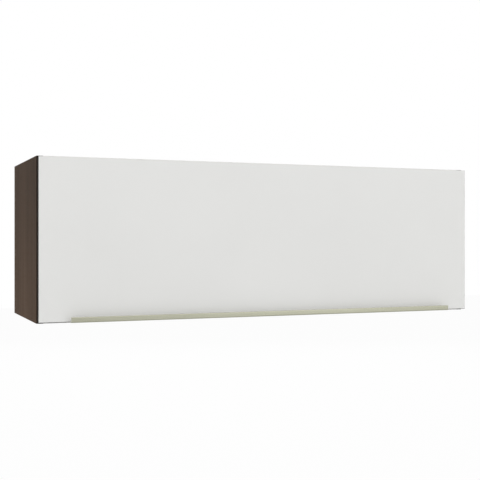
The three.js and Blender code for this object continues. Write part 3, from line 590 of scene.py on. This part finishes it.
def board_band(node, material):
    """An edge band whose two long front edges are scraped round."""
    low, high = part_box(node)
    band = block(node + "_finished", low, high)
    upright = high.z - low.z > high.x - low.x
    with Editing(band) as edit:
        edit.faces(lambda middle, normal: normal.y < -FACING)
        bpy.ops.mesh.region_to_loop()
        mesh = bmesh.from_edit_mesh(band.data)
        for edge in mesh.edges:
            run = edge.verts[0].co - edge.verts[1].co
            along = abs(run.z) if upright else abs(run.x)
            if along < run.length / 2:
                edge.select_set(False)
        bmesh.update_edit_mesh(band.data)
        bpy.ops.mesh.bevel(offset=SCRAPED, segments=4, affect="EDGES")
    stands_for(band, node, material)


def board_bands():
    for node in ("side_edge_left", "side_edge_right"):
        # the side front edges take the decor darkened with painted shade
        board_band(node, "dark_wood_edge")
    for node in ("top_edge", "bottom_edge"):
        board_band(node, "white_board")


def cam_locks():
    for node in frame["nodes"]:
        if node.startswith("cam_lock"):
            stands_for(rounded(copied(node), CAM_EDGE), node)


# ---- Door ----


DOOR_EDGE = 0.1 * MM
LIP_EDGE = 0.12 * MM
OUTWARD = {
    "door_edge_top": Vector((0, 0, 1)),
    "door_edge_bottom": Vector((0, 0, -1)),
    "door_edge_left": Vector((-1, 0, 0)),
    "door_edge_right": Vector((1, 0, 0)),
}


def door():
    """The panel, and bands whose outer front corner is rounded."""
    stands_for(rounded(copied("door_panel"), DOOR_EDGE, segments=1), "door_panel")
    for node, way in OUTWARD.items():
        low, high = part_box(node)
        rim = max(low.dot(way), high.dot(way)) - SKIN
        front = low.y + SKIN
        band = copied(node)
        with Editing(band) as edit:
            edit.edges(lambda point: point.dot(way) > rim and point.y < front)
            bpy.ops.mesh.bevel(offset=FOIL, segments=3, affect="EDGES")
        stands_for(band, node)


def handle():
    stands_for(rounded(copied("handle_lip"), LIP_EDGE, angle=40), "handle_lip")


def buffers():
    for node in ("door_buffer_left", "door_buffer_right"):
        stands_for(copied(node), node)


# ---- Fittings ----


EASED = {  # how far the corners of each kind of fitting are rounded
    "hinge_board_leaf": 0.2 * MM,
    "hinge_door_leaf": 0.2 * MM,
    "hinge_pin": 0.4 * MM,
    "lift_base_plate": 0.25 * MM,
    "lift_housing": 0.5 * MM,
    "lift_adjuster": 0.3 * MM,
    "lift_cover": 0.15 * MM,
    "lift_pivot_pin": 0.4 * MM,
    "lift_lever": 0.4 * MM,
    "lift_knee_rivet": 0.5 * MM,
    "lift_link": 0.35 * MM,
    "lift_door_bracket": 0.3 * MM,
    "lift_door_rivet": 0.5 * MM,
}


def fittings():
    for node in frame["nodes"]:
        kind = node.rsplit("_", 1)[0]
        if kind in EASED:
            stands_for(rounded(copied(node), EASED[kind]), node)


# ---- Screws ----


HEAD_RADIUS = 3.6 * MM
HEAD_HEIGHT = 2.2 * MM
HEAD_ROUND = 1.3 * MM
SHANK_RADIUS = 1.7 * MM
SHANK_LENGTH = 13 * MM
TIP_LENGTH = 3 * MM
TIP_END = 0.12  # the tip's end, as a share of the shank's width
RECESS = {"reach": 2.1 * MM, "width": 0.9 * MM, "depth": 1.5 * MM}
RECESS_FLOOR = 0.4  # the cross at its floor, as a share of its size at the top


def narrowed(share, centre):
    """Shrinks what is selected to that share of its size, toward a point."""
    bpy.ops.transform.resize(value=(share,) * 3, center_override=centre)


def cross_tool(reach, width, depth):
    """What a driver's cross cuts into a screw head at the origin, down from z = 0."""
    tool = block("cross_tool", (-width / 2, -width / 2, -depth), (width / 2, width / 2, MM))
    for along in (Vector((1, 0, 0)), Vector((0, 1, 0))):
        for way in (along, -along):
            with Editing(tool) as edit:
                edit.faces(lambda middle, normal: normal.dot(way) > FACING and middle.dot(way) > 0)
                step = way * (reach - width / 2)
                bpy.ops.mesh.extrude_region_move(TRANSFORM_OT_translate={"value": step})
    with Editing(tool) as edit:
        edit.faces(lambda middle, normal: normal.z < -FACING)
        narrowed(RECESS_FLOOR, (0, 0, -depth))
    return tool


def cut(piece, tool):
    """Takes the tool's shape out of the piece."""
    apply(piece, "BOOLEAN", operation="DIFFERENCE", solver="EXACT", object=tool)
    bpy.data.objects.remove(tool)


def wood_screw():
    """A pan-head screw that points down, its head resting on z = 0."""
    bpy.ops.object.select_all(action="DESELECT")
    bpy.ops.mesh.primitive_cylinder_add(
        vertices=32, radius=HEAD_RADIUS, depth=HEAD_HEIGHT, location=(0, 0, HEAD_HEIGHT / 2)
    )
    screw = settle(bpy.context.object)
    with Editing(screw) as edit:
        edit.edges(lambda point: point.z > HEAD_HEIGHT / 2)
        bpy.ops.mesh.bevel(offset=HEAD_ROUND, segments=5, affect="EDGES")
    with Editing(screw) as edit:
        edit.faces(lambda middle, normal: normal.z < -FACING)
        bpy.ops.mesh.inset(thickness=HEAD_RADIUS - SHANK_RADIUS)
        down = {"value": (0, 0, TIP_LENGTH - SHANK_LENGTH)}
        bpy.ops.mesh.extrude_region_move(TRANSFORM_OT_translate=down)
        down = {"value": (0, 0, -TIP_LENGTH)}
        bpy.ops.mesh.extrude_region_move(TRANSFORM_OT_translate=down)
        narrowed(TIP_END, (0, 0, -SHANK_LENGTH))
    tool = cross_tool(**RECESS)
    tool.location.z = HEAD_HEIGHT
    cut(screw, settle(tool))
    return screw


def screw_at(model, name, place, outward, turn, body):
    """A copy of the model whose head faces outward at that place."""
    screw = bpy.data.objects.new(name, model.data.copy())
    bpy.context.scene.collection.objects.link(screw)
    aim = Vector(outward).to_track_quat("Z", "Y").to_matrix().to_4x4()
    spin = Matrix.Rotation(math.radians(turn), 4, "Z")
    screw.data.transform(Matrix.Translation(place) @ aim @ spin)
    finished(shaded(screw), "screw_steel")
    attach(screw, body)


# Where the part has its screw holes, and the metal that each head rests on
HINGE_SCREW_REACH = 20 * MM  # either side of the hinge's middle
HINGE_SHEET = 1.6 * MM
BOARD_SCREW_Y = -330 * MM
DOOR_SCREW_Z = 25.3 * MM
DOOR_LEAF_Y = -353.2 * MM  # the face of the hinge leaf let into the door
BRACKET_SHEET = 2.5 * MM
BRACKET_SCREW_X = 555.15 * MM
BRACKET_SCREW_ZS = (-50.7 * MM, -90.7 * MM)
PLATE_SHEET = 2 * MM
PLATE_SCREWS = ((-150.2 * MM, 15.3 * MM), (-150.2 * MM, -26.7 * MM), (-308.2 * MM, -24.7 * MM))
SIDES = (("left", -1), ("right", 1))
DOWNWARD = (0, 0, -1)
BACKWARD = (0, 1, 0)


def hinge_screws(model, number):
    low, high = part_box(f"hinge_board_leaf_{number}")
    middle = (low.x + high.x) / 2
    under = TOP_LOW.z - HINGE_SHEET
    for side, way in SIDES:
        x = middle + way * HINGE_SCREW_REACH
        turn = 25 * number + 40 * way
        name = f"hinge_board_screw_{number}_{side}"
        screw_at(model, name, (x, BOARD_SCREW_Y, under), DOWNWARD, turn, "cabinet")
        name = f"hinge_door_screw_{number}_{side}"
        screw_at(model, name, (x, DOOR_LEAF_Y, DOOR_SCREW_Z), BACKWARD, turn + 15, "door")


def lift_screws(model, side, way):
    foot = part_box(f"lift_door_bracket_{side}")[0].y + BRACKET_SHEET
    for number, z in enumerate(BRACKET_SCREW_ZS, 1):
        name = f"lift_bracket_screw_{side}_{number}"
        place = (way * BRACKET_SCREW_X, foot, z)
        screw_at(model, name, place, BACKWARD, 30 * number + 20 * way, "door")
    for number, (y, z) in enumerate(PLATE_SCREWS, 1):
        name = f"lift_plate_screw_{side}_{number}"
        place = (way * (INNER_END - PLATE_SHEET), y, z)
        screw_at(model, name, place, (-way, 0, 0), 35 * number, "cabinet")


def screws():
    """Each wood screw has stopped at another turn of its cross."""
    model = wood_screw()
    for number in (1, 2, 3):
        hinge_screws(model, number)
    for side, way in SIDES:
        lift_screws(model, side, way)
    bpy.data.objects.remove(model)


def handle_screws():
    """Countersunk, driven up into the door's lower edge."""
    for number in (1, 2, 3, 4):
        node = f"handle_screw_{number}"
        low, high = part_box(node)
        screw = copied(node)
        tool = cross_tool(**RECESS)
        tool.rotation_euler = (math.pi, 0, math.radians(20 * number))
        tool.location = ((low.x + high.x) / 2, (low.y + high.y) / 2, low.z)
        cut(screw, settle(tool))
        stands_for(screw, node, "screw_steel")


# ---- Stage ----


WHITE = (1.0,) * 4


def stage():
    """A pale floor that keeps its shadows and looks nearly white."""
    bpy.ops.object.select_all(action="DESELECT")
    height = BOARD_LOW.z - FLOOR_DROP
    bpy.ops.mesh.primitive_plane_add(size=FLOOR_SIZE, location=(0, 0, height))
    floor = settle(bpy.context.object)
    floor.name = "floor"
    pale = Finish("pale_floor", {"Roughness": 0.8})
    pale.set("Base Color", paint(202, 202, 202))
    seen = pale.on_rays("Camera", "Glossy", "Transmission")
    glow = pale.node("Emission", {}, {"Color": WHITE, "Strength": 1.0})["Emission"]
    surface = Value(pale, pale.shader.outputs["BSDF"])
    sockets = {0: seen * FLOOR_GLOW, 1: surface, 2: glow}
    pale.show("Material Output", pale.node("MixShader", {}, sockets)["Shader"])
    floor.data.materials.append(pale.material)


def room():
    """Even light from all round, and a white backdrop where the camera looks past the floor."""
    world = bpy.data.worlds.new("white_room")
    bpy.context.scene.world = world
    world.use_nodes = True
    world.node_tree.nodes.remove(world.node_tree.nodes["Background"])
    air = Shading(world.node_tree)
    even_light = air.node("Background", {}, {"Color": WHITE, "Strength": AMBIENT})["Background"]
    backdrop = air.node("Background", {}, {"Color": WHITE, "Strength": 1.0})["Background"]
    sockets = {0: air.on_rays("Camera", "Glossy"), 1: even_light, 2: backdrop}
    air.show("World Output", air.node("MixShader", {}, sockets)["Shader"])


def lamp(name, place, power, size=LAMP_SIZE):
    """A square panel of light that faces the middle of the cabinet."""
    light = bpy.data.lights.new(name, "AREA")
    light.shape = "SQUARE"
    light.size = size
    light.energy = power
    holder = bpy.data.objects.new(name, light)
    holder.location = place
    middle = Vector((0, (BOARD_LOW.y + BOARD_HIGH.y) / 2, (BOARD_LOW.z + BOARD_HIGH.z) / 2))
    holder.rotation_euler = (middle - holder.location).to_track_quat("-Z", "Y").to_euler()
    bpy.context.scene.collection.objects.link(holder)


def lamps():
    lamp("front_left_light", (-4.0, -9.0, 5.2), power=725)
    lamp("front_right_light", (5.0, -9.0, 4.8), power=505)
    lamp("rear_left_light", (-6.5, 6.5, 3.5), power=110)
    lamp("rear_right_light", (3.5, 8.5, 4.5), power=640)
    lamp("lip_panel", (2.1, -4.2, -0.3), power=4, size=1.5)


def camera():
    lens = bpy.data.cameras.new("camera")
    lens.lens = LENS
    lens.sensor_width = SENSOR
    holder = bpy.data.objects.new("camera", lens)
    holder.location = CAMERA_PLACE
    holder.rotation_euler = (math.pi / 2, 0, CAMERA_TURN)
    bpy.context.scene.collection.objects.link(holder)
    bpy.context.scene.camera = holder


camera()
carcass()
board_bands()
cam_locks()
door()
handle()
buffers()
fittings()
screws()
handle_screws()
stage()
room()
lamps()
bpy.context.scene.view_settings.view_transform = "Standard"
